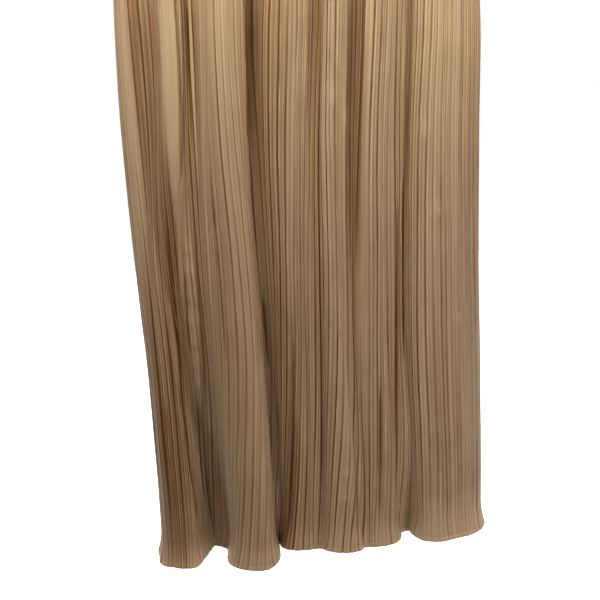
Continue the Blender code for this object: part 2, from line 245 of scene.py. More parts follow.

# Long narrow troughs, or ridges where the depth is below 0, that run with the pleats: the pleat
# and drop at each end, the width in pleats, the depth in millimetres and how much it puckers.
# Troughs also get painted shade inside them, and ridges a painted highlight.
Crease = namedtuple("Crease", "name pleat drop to_pleat to_drop width depth pucker")
CREASES = named(Crease, (
    ("left deep line", 17.45, 0.24, 17.9, 0.49, 0.26, 4.0, 0.0),
    ("left thin ridge", 18.6, 0.3, 19.0, 0.47, 0.6, -3.2, 0.0),
    ("left curved ridge", 21.8, 0.3, 21.9, 0.52, 0.3, -3.0, 0.0),
    ("left of curved ridge", 21.2, 0.33, 21.3, 0.5, 0.3, 3.6, 0.0),
    ("left hollow ridge", 8.9, 0.34, 9.3, 0.7, 0.28, -1.8, 0.0),
    ("left lower line", 12.6, 0.54, 11.8, 0.8, 0.24, 3.4, 0.0),
    ("left lower line below", 11.7, 0.74, 14.1, 0.955, 0.24, 3.0, 0.0),
    ("left lobe line", 10.2, 0.62, 10.4, 0.94, 0.22, 2.2, 0.0),
    ("left lobe outer line", 7.3, 0.58, 7.2, 0.95, 0.22, 1.8, 0.0),
    ("puckered ridge", 19.6, 0.545, 18.9, 0.785, 0.62, -1.6, 0.5),
    ("beside puckered ridge", 20.5, 0.555, 19.8, 0.8, 0.24, 2.4, 0.0),
    ("before puckered ridge", 18.6, 0.6, 17.9, 0.72, 0.24, 2.2, 0.0),
    ("tip ridge", 16.2, 0.79, 17.0, 0.925, 0.75, -2.2, 0.6),
    ("tip line", 18.4, 0.76, 18.0, 0.915, 0.24, 3.0, 0.0),
    ("centre lobe line", 23.6, 0.5, 24.0, 0.8, 0.24, 2.0, 0.0),
    ("centre lobe second line", 27.2, 0.48, 27.6, 0.74, 0.22, 1.8, 0.0),
    ("centre edge line", 37.0, 0.64, 37.6, 0.745, 0.26, 3.0, 0.0),
    ("beyond centre edge", 39.4, 0.66, 39.6, 0.9, 0.24, 2.4, 0.0),
    ("dark line in the middle", 58.1, 0.2, 58.1, 0.64, 0.24, 3.0, 0.0),
    ("right line", 66.6, 0.5, 66.2, 0.75, 0.24, 3.0, 0.0),
    ("right line before", 65.3, 0.52, 64.5, 0.86, 0.22, 2.4, 0.0),
    ("middle line", 50.9, 0.34, 50.6, 0.96, 0.22, 1.6, 0.0),
    ("middle line below", 44.6, 0.66, 45.2, 0.95, 0.24, 2.2, 0.0),
    ("low right line", 60.9, 0.74, 61.2, 0.95, 0.24, 2.4, 0.0),
    ("puckered strip", 66.4, 0.79, 66.6, 0.93, 0.75, -1.0, 0.35),
))
PUCKER_PITCH = 0.0125

# Painted shade, darker and warmer, on the cloth deep in the folds and on broad stretches that fall
# darker, and painted light on facets, fold walls and the flared hem where the strength is below 0:
# the place in pleats, half the width in pleats and how far it goes.
Patch = namedtuple("Patch", "drop pleat half_width strength")
SHADES = grouped(Patch, {
    "left strip": (
        (0.28, 5.6, 2.2, 0),
        (0.36, 5.2, 2.4, -1),
        (0.57, 6, 1.8, -0.4),
        (0.66, 6.4, 1.4, 0),
    ),
    "left hollow": (
        (0.28, 10, 2.4, 0),
        (0.36, 10.2, 2.4, 0.62),
        (0.47, 10.9, 2.6, 0.66),
        (0.57, 12, 2.9, 0.75),
        (0.65, 14.5, 3.2, 0.7),
        (0.77, 16.2, 2.8, 0.65),
        (0.87, 19.8, 2.6, 0.6),
        (0.97, 22.2, 2.6, 0.6),
    ),
    "left facet": (
        (0.28, 14.9, 2.2, 0),
        (0.36, 14.9, 2.2, -0.35),
        (0.45, 14.9, 2.1, -0.4),
        (0.55, 15.3, 1.6, -0.15),
        (0.6, 15.5, 1.6, 0),
    ),
    "beside the deep line": (
        (0.28, 18.3, 0.7, 0),
        (0.36, 18.3, 0.7, -0.45),
        (0.46, 18.5, 0.7, -0.35),
        (0.5, 18.6, 0.7, 0),
    ),
    "left valley": (
        (0.28, 21, 1.6, 0),
        (0.36, 21.2, 1.8, 0.55),
        (0.46, 21, 1.8, 0.4),
        (0.57, 20, 1.5, 0.3),
        (0.7, 19.6, 1.5, 0.2),
        (0.8, 19.6, 1.5, 0),
    ),
    "curved ridge": (
        (0.28, 21.8, 0.35, 0),
        (0.36, 21.8, 0.35, -1.1),
        (0.49, 21.9, 0.35, -0.8),
        (0.53, 21.9, 0.35, 0),
    ),
    "left lobe": (
        (0.66, 9.5, 3, 0),
        (0.77, 9.5, 3.6, 0.45),
        (0.9, 10.5, 4.2, 0.4),
        (0.97, 11, 4.2, 0.2),
    ),
    "left wall": (
        (0.8, 16.4, 1.2, 0),
        (0.87, 17.2, 1.4, -0.6),
        (0.97, 18.2, 1.5, -0.8),
    ),
    "left side": (
        (0.6, 3, 3, 0),
        (0.72, 4, 3.6, 0.45),
        (0.86, 5, 4.4, 0.55),
        (0.97, 6, 4.4, 0.35),
    ),
    "centre crest": (
        (0.28, 30.6, 2.4, 0),
        (0.36, 30.6, 2.4, -0.15),
        (0.5, 30.8, 2.4, -0.12),
        (0.65, 30.6, 2.2, -0.1),
        (0.8, 30.6, 2.2, 0),
    ),
    "centre valley": (
        (0.25, 37.8, 3, 0),
        (0.36, 38.9, 4.5, 0.65),
        (0.57, 39.6, 3.4, 0.6),
        (0.66, 40.3, 3.8, 0.65),
        (0.77, 41.3, 3.3, 0.5),
        (0.87, 44.4, 3.6, 0.55),
        (0.97, 45.4, 3.2, 0.5),
    ),
    "centre wall": (
        (0.3, 35.2, 1, 0),
        (0.38, 35.4, 1, -0.45),
        (0.57, 37, 1, -0.3),
        (0.7, 38, 1, -0.5),
        (0.8, 39.4, 1.3, -0.8),
        (0.97, 40.4, 1.4, -0.9),
    ),
    "left hem": (
        (0.94, 9, 6, 0),
        (0.966, 9, 6, -0.45),
    ),
    "centre hem": (
        (0.94, 30.5, 5, 0),
        (0.966, 30.5, 5, -0.3),
    ),
    "middle hem": (
        (0.93, 55, 9, 0),
        (0.964, 55, 9, -0.55),
    ),
    "right hem": (
        (0.905, 76, 9, 0),
        (0.95, 76, 9, -0.75),
        (0.97, 76, 9, -1),
    ),
    "middle": (
        (0.25, 49.2, 1.8, 0),
        (0.36, 49.3, 1.9, 0.65),
        (0.46, 49.5, 1.8, 0.35),
        (0.58, 49.8, 1.6, 0.15),
        (0.8, 49.6, 1.6, 0),
    ),
    "right of middle": (
        (0.22, 57, 1.2, 0),
        (0.36, 57.3, 1.6, 0.75),
        (0.57, 57.6, 1.5, 0.65),
        (0.66, 57.4, 1, 0.15),
        (0.8, 57.2, 1, 0),
    ),
    "right shoulder": (
        (0.25, 71.4, 3.2, 0),
        (0.36, 71.4, 3.2, 0.25),
        (0.5, 71.4, 3.2, 0.15),
        (0.64, 71.4, 3.2, 0),
    ),
    "right": (
        (0.22, 67.2, 1, 0),
        (0.36, 67.4, 1.1, 0.65),
        (0.5, 67.8, 1.2, 0.35),
        (0.62, 67.2, 1.4, -0.25),
        (0.75, 66.8, 1.5, -0.35),
        (0.97, 66.6, 1.8, -0.6),
    ),
})

# Where the pleats lie flatter, with the strength as the share of their relief that is lost.
CALM = grouped(Patch, {
    "left strip": (
        (0.2, 5.2, 2.6, 0),
        (0.36, 5.2, 2.6, 0.5),
        (0.6, 6, 2.2, 0),
    ),
    "left facet": (
        (0.2, 14.8, 2.2, 0),
        (0.34, 14.8, 2.2, 0.85),
        (0.48, 14.9, 2.2, 0.75),
        (0.6, 15.4, 1.8, 0),
    ),
    "centre crest": (
        (0.2, 28.5, 5.6, 0),
        (0.36, 28.5, 5.6, 0.5),
        (0.6, 29, 6, 0.45),
        (0.8, 30.5, 6.4, 0.62),
        (0.97, 31.5, 7, 0.55),
    ),
    "far right": (
        (0.2, 76, 6, 0),
        (0.5, 76, 6, 0.25),
        (0.75, 76, 6, 0.15),
        (0.97, 76, 6, 0),
    ),
})
PATCH_SOFTNESS = 0.28

# Small dents: the pleat and drop of the middle, half the width in pleats, half the length in
# metres, and the depth in millimetres (outwards below 0).
# Dents that stand outwards also get a painted highlight.
Dent = namedtuple("Dent", "name pleat drop half_width half_length depth")
DENTS = named(Dent, (
    ("left pinch", 18.2, 0.655, 1.2, 0.01, 1.6),
    ("left pinch below", 19.3, 0.672, 1.0, 0.008, -1.2),
    ("left fold tick", 19.2, 0.718, 1.2, 0.01, 1.4),
    ("middle tick", 55.6, 0.865, 0.7, 0.005, -1.6),
    ("middle tick below", 55.6, 0.895, 0.7, 0.005, -1.4),
    ("right valley tick", 66.4, 0.931, 1.5, 0.004, -2.6),
    ("top tick", 55.2, 0.463, 0.8, 0.01, -0.9),
    ("top left dimple", 45.8, 0.405, 1.0, 0.014, 1.0),
    ("top left dimple below", 46.2, 0.463, 0.9, 0.012, 1.0),
    ("top middle dimple", 52.5, 0.463, 1.0, 0.012, 1.1),
    ("top middle crumple", 52.9, 0.44, 0.9, 0.01, -0.8),
    ("middle dimple", 54.9, 0.549, 0.9, 0.01, 0.9),
    ("right dimple", 71.5, 0.475, 0.9, 0.008, -0.9),
    ("right dimple below", 72.0, 0.553, 0.7, 0.007, 0.9),
    ("right dimple beside", 73.2, 0.56, 0.7, 0.007, -0.8),
    ("far right dimple", 75.3, 0.553, 0.8, 0.007, 0.9),
    ("low right dimple", 69.6, 0.694, 0.8, 0.006, 0.9),
    ("low right dimple beside", 77.0, 0.69, 0.8, 0.007, -0.8),
))

# Rows of the cloth: the drop, how far the cloth lies inside its outer face, and the share of the
# pleats' relief. First the edge that is turned in behind the band, and last the turned hem.
Row = namedtuple("Row", "drop inset share")
TOP_ROWS = (
    Row(0.0345, 2.6 * MM, 0.4),
    Row(0.0385, 2.3 * MM, 0.6),
    Row(0.0398, 1.2 * MM, 0.8),
    Row(0.0403, 0.0, 0.9),
)
HEM_ROWS = (
    Row(0.9600, 0.0, 0.96),
    Row(0.9629, 0.0, 0.90),
    Row(0.9641, 0.4 * MM, 0.80),
    Row(0.9653, -0.1 * MM, 0.80),
    Row(0.9675, -0.1 * MM, 0.76),
    Row(0.9692, 0.1 * MM, 0.74),
    Row(0.9700, 0.5 * MM, 0.72),
    Row(0.9693, 1.0 * MM, 0.72),
    Row(0.9670, 1.2 * MM, 0.74),
    Row(0.9646, 1.1 * MM, 0.78),
)
# Between them the rows are a wide step apart down to one drop, then a narrow step to the hem's.
UPPER_STEP = 0.015
LOWER_STEP = 0.0084
STEP_CHANGE = 0.3
HEM_BEGINS = 0.956

# The allowance turned in at a side seam: how far it bends along the skirt, and how far inwards it
# lies. Both panels' allowances bend the same way, so no light comes through the seam.
Turn = namedtuple("Turn", "bend inset")
SEAM_TURNS = (Turn(0.9 * MM, 2.5 * MM), Turn(0.0, 5.0 * MM), Turn(0.9 * MM, 8.0 * MM))

# The flat cloth: what shows of each pleat, a panel's length with its turned hem, and the band.
CLOTH_PER_PLEAT = 0.0088

# How the pleats differ: a base value with layers of soft noise, each with its own seed, amount,
# size in pleats and run down the cloth in metres, held between the least and the most.
Noise = namedtuple("Noise", "seed amount pleats run")
Mix = namedtuple("Mix", "base layers least most")
STRENGTH = Mix(
    0.92, (Noise(1, 0.66, 1.0, 0.33), Noise(2, 0.30, 1.0, 0.09), Noise(3, 0.20, 4.0, 0.25)), 0.15, 1.9
)
DOUBLED = Mix(0.40, (Noise(4, 0.90, 1.0, 0.50), Noise(5, 0.30, 1.0, 0.12)), 0.0, 1.0)
TILT = Mix(0.0, (Noise(11, 0.75, 1.0, 0.40),), -1.0, 1.0)
# A random tone for each pleat, which also stands in as painted shade for pleats that lean
# differently.
TONE = Mix(0.5, (Noise(10, 0.45, 1.0, 0.45), Noise(12, 0.25, 2.6, 0.30)), 0.0, 1.0)
# The strength of the painted highlights on each pleat.
PAINTED_SHINE_MIX = Mix(0.50, (Noise(13, 0.80, 1.0, 0.16), Noise(14, 0.50, 1.0, 0.020)), 0.0, 1.0)
# These two run on over the pleats: a sideways wander in pleats, and low waves in millimetres.
WANDER = Mix(0.0, (Noise(6, 0.16, 4.0, 0.30), Noise(7, 0.09, 1.6, 0.10)), -1.0, 1.0)
WAVES = Mix(0.0, (Noise(8, 0.6, 3.1, 0.24), Noise(9, 0.3, 1.5, 0.075)), -1.0, 1.0)

# In pleats: where the relief fades out beside a seam, and where a fold's edge falls.
SEAM_FADE = 0.9
EDGE_SHARPNESS = 0.3
# The share of a crease that fades out at each end, the painted shade inside a trough, and the
# painted highlights on ridges and on the lowest stretch of the hem.
CREASE_END = 0.25
CREASE_PAINTED_SHADE = 0.6
RIDGE_PAINTED_SHINE = 0.7
HEM_PAINTED_SHINE = 0.6
HEM_LIGHT_BEGINS = 0.925
HEM_LIGHT_RUN = 0.030

# A stitch of the hem: rings along it, with their radius and height over the groove in millimetres.
StitchRing = namedtuple("StitchRing", "along radius lift")
STITCH = named(StitchRing, (
    (0.0, 0.02, -0.08),
    (0.25, 0.20, 0.22),
    (0.75, 0.20, 0.22),
    (1.0, 0.02, -0.08),
))
STITCH_SIDES = 5
STITCH_LENGTH = 2.4 * MM
STITCH_PITCH = 3.1 * MM
FIRST_STITCH = 1.0 * MM
LAST_STITCH = 3.0 * MM
STITCH_SMOOTHING = 6
GROOVE_ROW = 2

# The band's gathers, the rows down its outside, and the rows back up its inside, as shares of its
# height and thickness.
BAND_SEED = 31
GATHERS = 96
GATHER_STEPS = 6
GATHER_UNEVENNESS = 0.4
GATHER_HEIGHT = 0.9 * MM
GATHER_INSIDE = 0.2 * MM
HEIGHT_UNEVENNESS = 0.5
STITCHED_DOWN = 0.25
BAND_ROWS = 24
BAND_PUFF = 0.7 * MM
BAND_CLEARANCE = 0.3 * MM
BAND_WAVES = 0.15 * MM
BAND_CLOTH_PER_GATHER = 0.010
BandRow = namedtuple("BandRow", "drop inset")
BAND_INSIDE = named(BandRow, (
    (1.0, 0.6),
    (1.0, 1.0),
    (0.9, 1.0),
    (0.6, 1.0),
    (0.3, 1.0),
    (0.1, 1.0),
    (0.0, 1.0),
    (0.0, 0.5),
))

# The satin's noises, as repeats to a metre across and along the flat cloth. Threads are a
# fraction of a millimetre wide and centimetres long.
THREADS = (2600.0, 22.0, 1.0)
STREAKS = (520.0, 3.0, 1.0)
CLOUDS = (20.0, 14.0, 1.0)
CRUMPLES = (240.0, 80.0, 1.0)
# How far each thing takes the satin towards its dark colour, where it is 0 and where it is 1. The
# crease and deep values are painted shade, the lit value is painted highlight, the pleats' tone is
# random and partly painted shade, and streaks and clouds are random tone.
CREASE_SHADE = (0.0, 0.95)
STREAK_SHADE = (-0.44, 0.56)
TONE_SHADE = (0.13, 0.37)
LIT_SHADE = (0.0, -0.52)
CLOUD_SHADE = (-0.10, 0.10)
DEEP_SHADE = 0.48
ROUGHNESS_RANGE = 0.07


def through(places, values, place):
    """The smooth curve through values at increasing places, read at one place."""
    slopes = np.gradient(np.asarray(values, float), np.asarray(places, float), axis=0)
    step = int(np.clip(np.searchsorted(places, place) - 1, 0, len(places) - 2))
    run = places[step + 1] - places[step]
    t = np.clip((place - places[step]) / run, 0.0, 1.0)
    start, end = np.asarray(values[step], float), np.asarray(values[step + 1], float)
    return (
        (2 * t**3 - 3 * t**2 + 1) * start
        + (t**3 - 2 * t**2 + t) * run * slopes[step]
        + (3 * t**2 - 2 * t**3) * end
        + (t**3 - t**2) * run * slopes[step + 1]
    )


def section_at(drop):
    """(half width, front depth, back depth, squareness, middle) of the body at a drop."""
    return through([row.drop for row in SECTIONS], [row[1:] for row in SECTIONS], drop)


def body_points(bearings, drop):
    """The plain section, with no folds, at bearings in degrees."""
    half_width, front, back, squareness, middle = section_at(drop)
    across = np.cos(np.radians(bearings))
    forward = np.sin(np.radians(bearings))
    depth = np.where(forward > 0, front, back)
    reach = np.abs(across / half_width) ** squareness + np.abs(forward / depth) ** squareness
    radius = reach ** (-1 / squareness)
    return np.stack([middle - radius * across, -radius * forward], axis=-1)


def outward(before, after):
    """Unit vectors square to the way from one point to the next, on the outer side."""
    way = after - before
    square = np.stack([way[..., 1], -way[..., 0]], axis=-1)
    return square / np.linalg.norm(square, axis=-1, keepdims=True)


def even_bearings(pleats, drop):
    """Bearings that share the section's girth out evenly, with the seams at 0 and 180 degrees."""
    found = np.empty(len(pleats))
    for side in (0, 1):
        bearings = np.linspace(180.0 * side, 180.0 * (side + 1), GIRTH_STEPS + 1)
        steps = np.linalg.norm(np.diff(body_points(bearings, drop), axis=0), axis=1)
        girth = np.concatenate([[0.0], np.cumsum(steps)])
        here = (pleats >= PLEATS * side) & (pleats <= PLEATS * (side + 1))
        share = (pleats[here] - PLEATS * side) / PLEATS
        found[here] = np.interp(share, girth / girth[-1], bearings)
    return found


def cloth_points(pleats, drop):
    """The middle of the cloth with its large folds and no pleats, at places counted in pleats."""
    pleats = np.clip(np.asarray(pleats, float), 0.0, 2.0 * PLEATS)
    folds = {column: np.array([getattr(fold, column) for fold in FOLDS]) for column in FOLD_COLUMNS}
    knots = through(
        LEVELS, [folds["pleat"], folds["pleat"], folds["knee_pleat"], folds["hem_pleat"]], drop
    )
    gathered = even_bearings(folds["pleat"], LEVELS[0])
    bearings = through(
        LEVELS, [gathered, folds["hip_deg"], folds["knee_deg"], folds["hem_deg"]], drop
    )
    outs = MM * through(
        LEVELS, [0 * knots, folds["hip_out"], folds["knee_out"], folds["hem_out"]], drop
    )
    formed = np.interp(drop, LEVELS, FORMED)
    steep = folds["steep"] * formed
    tuck = folds["tuck"] * formed
    left = np.clip(np.searchsorted(knots, pleats) - 1, 0, len(knots) - 2)
    right = left + 1
    t = (pleats - knots[left]) / (knots[right] - knots[left])
    moved = (
        t
        + np.maximum(steep[left], steep[right]) * np.sin(2 * np.pi * t)
        + (tuck[left] - tuck[right]) * np.sin(np.pi * t) ** 2
    )
    bearing = bearings[left] + (bearings[right] - bearings[left]) * moved
    out = outs[left] + (outs[right] - outs[left]) * (1 - np.cos(np.pi * t)) / 2
    for swell in SWELLS:
        off = (pleats - swell.pleat) / swell.half_width
        low = (drop - swell.drop) / swell.half_length
        out = out + swell.out * MM * np.exp(-off * off - low * low)
    side = outward(body_points(bearing - NEARBY, drop), body_points(bearing + NEARBY, drop))
    return body_points(bearing, drop) + side * out[:, None]


def flare_at(drop):
    """How far the last stretch above the hem turns outwards."""
    return HEM_FLARE * max(0.0, (drop - LENGTH + FLARE_RUN) / FLARE_RUN) ** 2


def soft_noise(seed, places, place_size, drops, drop_size):
    """Smooth seeded noise from -1 to 1, a row for each drop and a column for each place."""
    draw = np.random.default_rng(seed)
    across = np.asarray(places, float) / place_size
    down = np.asarray(drops, float) / drop_size
    lattice = draw.uniform(-1, 1, (int(down.max()) + 3, int(across.max()) + 3))
    row, column = down.astype(int), across.astype(int)
    v, u = (down - row)[:, None], (across - column)[None, :]
    v, u = v * v * (3 - 2 * v), u * u * (3 - 2 * u)
    corner = [[lattice[np.ix_(row + i, column + j)] for j in (0, 1)] for i in (0, 1)]
    upper = corner[0][0] * (1 - u) + corner[0][1] * u
    lower = corner[1][0] * (1 - u) + corner[1][1] * u
    return upper * (1 - v) + lower * v


def pleat_edges(first, seed):
    """The places of a panel's crests, drawn as in the part's source."""
    draw = random.Random(seed)
    widths = [1 + PLEAT_UNEVENNESS * draw.uniform(-1, 1) for _ in range(PLEATS)]
    return first + np.concatenate([[0.0], np.cumsum(widths)]) * PLEATS / sum(widths)


def cloth_rows():
    """The rows of a panel from the band to the hem."""
    drops = list(np.arange(TOP_ROWS[-1].drop + UPPER_STEP / 2, STEP_CHANGE, UPPER_STEP))
    count = round((HEM_BEGINS - drops[-1]) / LOWER_STEP)
    drops += list(np.linspace(drops[-1], HEM_BEGINS, count + 1)[1:])
    return TOP_ROWS + tuple(Row(drop, 0.0, 1.0) for drop in drops) + HEM_ROWS


def new_mesh_object(name, points, faces, smooth=True):
    """A mesh object from points and faces, in the row frame."""
    mesh = bpy.data.meshes.new(name)
    mesh.from_pydata(points, [], faces)
    if smooth:
        mesh.shade_smooth()
    made = bpy.data.objects.new(name, mesh)
    bpy.context.scene.collection.objects.link(made)
    return made


def grid_faces(rows, columns):
    """Quads of a grid of points that is numbered row by row, facing outwards."""
    corner = np.arange((rows - 1) * columns).reshape(rows - 1, columns)[:, :-1].ravel()
    return np.stack([corner, corner + columns, corner + columns + 1, corner + 1], axis=1)


def give_point_values(mesh, name, values):
    """A named value for each point of a mesh, for its material to read."""
    attribute = mesh.attributes.new(name, "FLOAT", "POINT")
    attribute.data.foreach_set("value", np.asarray(values, np.float32).ravel())


def give_cloth_map(mesh, across, down):
    """A UV map in metres of flat cloth."""
    corners = np.empty(len(mesh.loops), np.int32)
    mesh.loops.foreach_get("vertex_index", corners)
    flat = np.stack([np.ravel(across), np.ravel(down)], axis=1)[corners]
    mesh.uv_layers.new(name="cloth").data.foreach_set("uv", flat.astype(np.float32).ravel())


def soft_step(value):
    """0 below 0, 1 above 1, and smooth between."""
    value = np.clip(value, 0.0, 1.0)
    return value * value * (3 - 2 * value)


def read_down(rows, column, drops):
    """One column of a group of rows at every drop, as a column of values."""
    found = np.interp(drops, [row.drop for row in rows], [getattr(row, column) for row in rows])
    return found[:, None]


def edge_heights(places, drops):
    """How far the edges of the folds lift each point of the cloth outwards."""
    height = np.zeros(places.shape)
    for rows in EDGES.values():
        off = places - read_down(rows, "pleat", drops)
        rise = np.clip(1 + off / read_down(rows, "rise_run", drops), 0, 1) ** 2
        fallen = np.clip(off / read_down(rows, "fall_run", drops), 0, 1)
        fall = 1 - fallen ** read_down(rows, "late", drops)
        beyond = soft_step(off / EDGE_SHARPNESS + 0.5)
        height += MM * (1 - beyond) * rise * read_down(rows, "rise", drops)
        height -= MM * beyond * fall * read_down(rows, "fall", drops)
    return height


def patches(table, places, drops, least):
    """The strength of a table's patches at each point of the cloth, from least to 1."""
    depth = np.zeros(places.shape)
    for rows in table.values():
        off = (places - read_down(rows, "pleat", drops)) / read_down(rows, "half_width", drops)
        within = 1 - soft_step((np.abs(off) - 1) / (2 * PATCH_SOFTNESS) + 0.5)
        depth += read_down(rows, "strength", drops) * within
    return np.clip(depth, least, 1)


def crease_shapes(places, drops):
    """Of the listed creases and dents: how far they push each point of the cloth inwards, how much
    painted shade it gets inside a trough, and how much painted highlight on a ridge or outward dent."""
    depth, painted_trough_shade, painted_raised_shine = (np.zeros(places.shape) for _ in range(3))
    down = np.asarray(drops)[:, None]
    for crease in CREASES:
        along = (down - crease.drop) / (crease.to_drop - crease.drop)
        middle = crease.pleat + (crease.to_pleat - crease.pleat) * along
        ends = soft_step(np.minimum(along, 1 - along) / CREASE_END)
        off = (places - middle) / crease.width
        ripple = 1 + crease.pucker * np.sin(2 * np.pi * down / PUCKER_PITCH + 3 * along)
        shape = ends * ripple * np.exp(-off * off)
        depth += crease.depth * MM * shape
        if crease.depth > 0:
            painted_trough_shade += shape
        else:
            painted_raised_shine += shape
    for dent in DENTS:
        off = (places - dent.pleat) / dent.half_width
        low = (down - dent.drop) / dent.half_length
        shape = np.exp(-off * off - low * low)
        depth += dent.depth * MM * shape
        if dent.depth < 0:
            painted_raised_shine += shape
    return depth, np.clip(painted_trough_shade, 0, 1), np.clip(painted_raised_shine, 0, 1)


def mixed_noise(mix, seed, places, drops):
    """A mix's base value and noise, a row for each drop and a column for each place."""
    value = mix.base
    for layer in mix.layers:
        noise = soft_noise(seed + layer.seed, places, layer.pleats, drops, layer.run)
        value = value + layer.amount * noise
    return value


def at_columns(name):
    """One value of a pleat's columns, repeated over a panel's pleats and at its last crest."""
    values = [getattr(column, name) for column in COLUMNS]
    return np.append(np.tile(values, PLEATS), values[0])


def panel_row(row, places, raised, first):
    """The points of one row of a panel, with an allowance turned in at each side seam."""
    cloth = cloth_points(places, row.drop)
    side = outward(
        cloth_points(np.maximum(places - NEARBY, first), row.drop),
        cloth_points(np.minimum(places + NEARBY, first + PLEATS), row.drop),
    )
    along = np.stack([-side[:, 1], side[:, 0]], axis=1)
    cloth[0] += along[0] * SEAM_GAP / 2
    cloth[-1] -= along[-1] * SEAM_GAP / 2
    plan = cloth + side * (raised + flare_at(row.drop) - row.inset)[:, None]
    before, after = (
        [plan[end] - side[end] * turn.inset + along[end] * turn.bend for turn in SEAM_TURNS]
        for end in (0, -1)
    )
    plan = np.concatenate([before[::-1], plan, after])
    return np.column_stack([plan, np.full(len(plan), -row.drop)])


def add_panel(name, first, seed):
    """One pleated width of cloth, turned in at the band, the hem and both side seams."""
    rows = cloth_rows()
    drops = np.array([row.drop for row in rows])
    shares = np.array([row.share for row in rows])
    edges = pleat_edges(first, seed)
    across = np.array([column.across for column in COLUMNS])
    places = np.append((edges[:-1, None] + np.diff(edges)[:, None] * across).ravel(), edges[-1])
    number = np.append(np.repeat(np.arange(PLEATS), len(COLUMNS)), PLEATS - 1)
    # Everything that the pleats add fades out at the seams, where the two panels have to meet.
    ends = soft_step(np.minimum(places - first, first + PLEATS - places) / SEAM_FADE)

    def for_pleats(mix, extra=0.0):
        """A mix that is drawn for each pleat and given to all its columns."""
        value = mixed_noise(mix, seed, np.arange(PLEATS), drops) + extra
        return np.clip(value, mix.least, mix.most)[:, number]

    def for_places(mix):
        """A mix that runs on over the pleats and fades out at the seams."""
        return mixed_noise(mix, seed, places - first, drops) * ends

    everywhere = np.broadcast_to(places, (len(drops), len(places)))
    lively = 1 - patches(CALM, everywhere, drops, 0)
    strength = for_pleats(STRENGTH)
    profile = strength * at_columns("height") + for_pleats(DOUBLED) * at_columns("second")
    profile = profile * lively + for_pleats(TILT) * at_columns("lean")
    relief = np.interp(drops, RELIEF_DROPS, RELIEF) * shares
    moved = places + for_places(WANDER)
    depth, painted_trough_shade, painted_raised_shine = crease_shapes(moved, drops)
    raised = relief[:, None] * profile + edge_heights(moved, drops) - depth
    raised = raised * ends + MM * for_places(WAVES)
    points = np.array([panel_row(*each, first) for each in zip(rows, moved, raised)])

    panel = new_mesh_object(
        name, points.reshape(-1, 3).tolist(), grid_faces(*points.shape[:2]).tolist()
    )
    turned = len(SEAM_TURNS)
    flat = np.pad(places - first, turned, mode="edge") * CLOTH_PER_PLEAT
    give_cloth_map(
        panel.data,
        np.broadcast_to(flat, points.shape[:2]),
        np.broadcast_to(drops[:, None], points.shape[:2]),
    )
    # Painted shade at the foot of each pleat's crease and inside the listed troughs.
    foot = np.clip(at_columns("foot") * strength, 0, 1) * lively
    foot = np.maximum(foot, CREASE_PAINTED_SHADE * painted_trough_shade) * ends
    # Painted highlights on the pleats' lips, more over the flared hem, and on ridges.
    at_hem = HEM_PAINTED_SHINE * soft_step((drops[:, None] - HEM_LIGHT_BEGINS) / HEM_LIGHT_RUN)
    painted_shine = for_pleats(PAINTED_SHINE_MIX, at_hem) * at_columns("lit")
    painted_shine = np.maximum(painted_shine, RIDGE_PAINTED_SHINE * painted_raised_shine) * ends
    # The shade value is painted shade deep in the folds and painted light on facets and the hem.
    for key, values in (
        ("crease", foot),
        ("tone", for_pleats(TONE)),
        ("lit", painted_shine),
        ("shade", patches(SHADES, moved, drops, -1) * ends),
    ):
        give_point_values(panel.data, key, np.pad(values, ((0, 0), (turned, turned)), mode="edge"))
    return panel, points


def run_along(line):
    """How far along a line each of its points lies."""
    return np.concatenate([[0.0], np.cumsum(np.linalg.norm(np.diff(line, axis=0), axis=1))])


def on_line(at, along, line):
    """Where a line is after a run along it."""
    return np.stack([np.interp(at, along, line[:, axis]) for axis in range(3)], axis=-1)


def stitch_ring(middle, near, ring):
    """The points round one ring of a stitch, whose thread runs towards a point near by."""
    way = (near - middle) / np.linalg.norm(near - middle)
    out = np.array([way[1], -way[0], 0.0])
    out /= np.linalg.norm(out)
    up = np.array([0.0, 0.0, 1.0])
    turns = np.arange(STITCH_SIDES) * 2 * math.pi / STITCH_SIDES
    round_it = np.outer(np.cos(turns), out) + np.outer(np.sin(turns), up)
    return middle + out * ring.lift * MM + round_it * ring.radius * MM


def add_hem_stitches(name, points):
    """Short threads in the groove above the turned hem."""
    groove = len(points) - len(HEM_ROWS) + GROOVE_ROW
    line = points[groove][len(SEAM_TURNS) : -len(SEAM_TURNS)]
    along = run_along(line)
    line = on_line(np.linspace(0, along[-1], len(along) // STITCH_SMOOTHING), along, line)
    along = run_along(line)
    made, faces = [], []
    for start in np.arange(FIRST_STITCH, along[-1] - LAST_STITCH, STITCH_PITCH):
        base = len(made)
        for ring in STITCH:
            at = start + ring.along * STITCH_LENGTH
            middle, near = on_line(at, along, line), on_line(at + MM / 2, along, line)
            made += stitch_ring(middle, near, ring).tolist()
        for a in range(base, base + (len(STITCH) - 1) * STITCH_SIDES, STITCH_SIDES):
            b = a + STITCH_SIDES
            for corner in range(STITCH_SIDES):
                after = (corner + 1) % STITCH_SIDES
                faces.append((a + corner, b + corner, b + after, a + after))
        faces.append(tuple(base + corner for corner in reversed(range(STITCH_SIDES))))
        last = base + (len(STITCH) - 1) * STITCH_SIDES
        faces.append(tuple(last + corner for corner in range(STITCH_SIDES)))
    return new_mesh_object(name, made, faces)


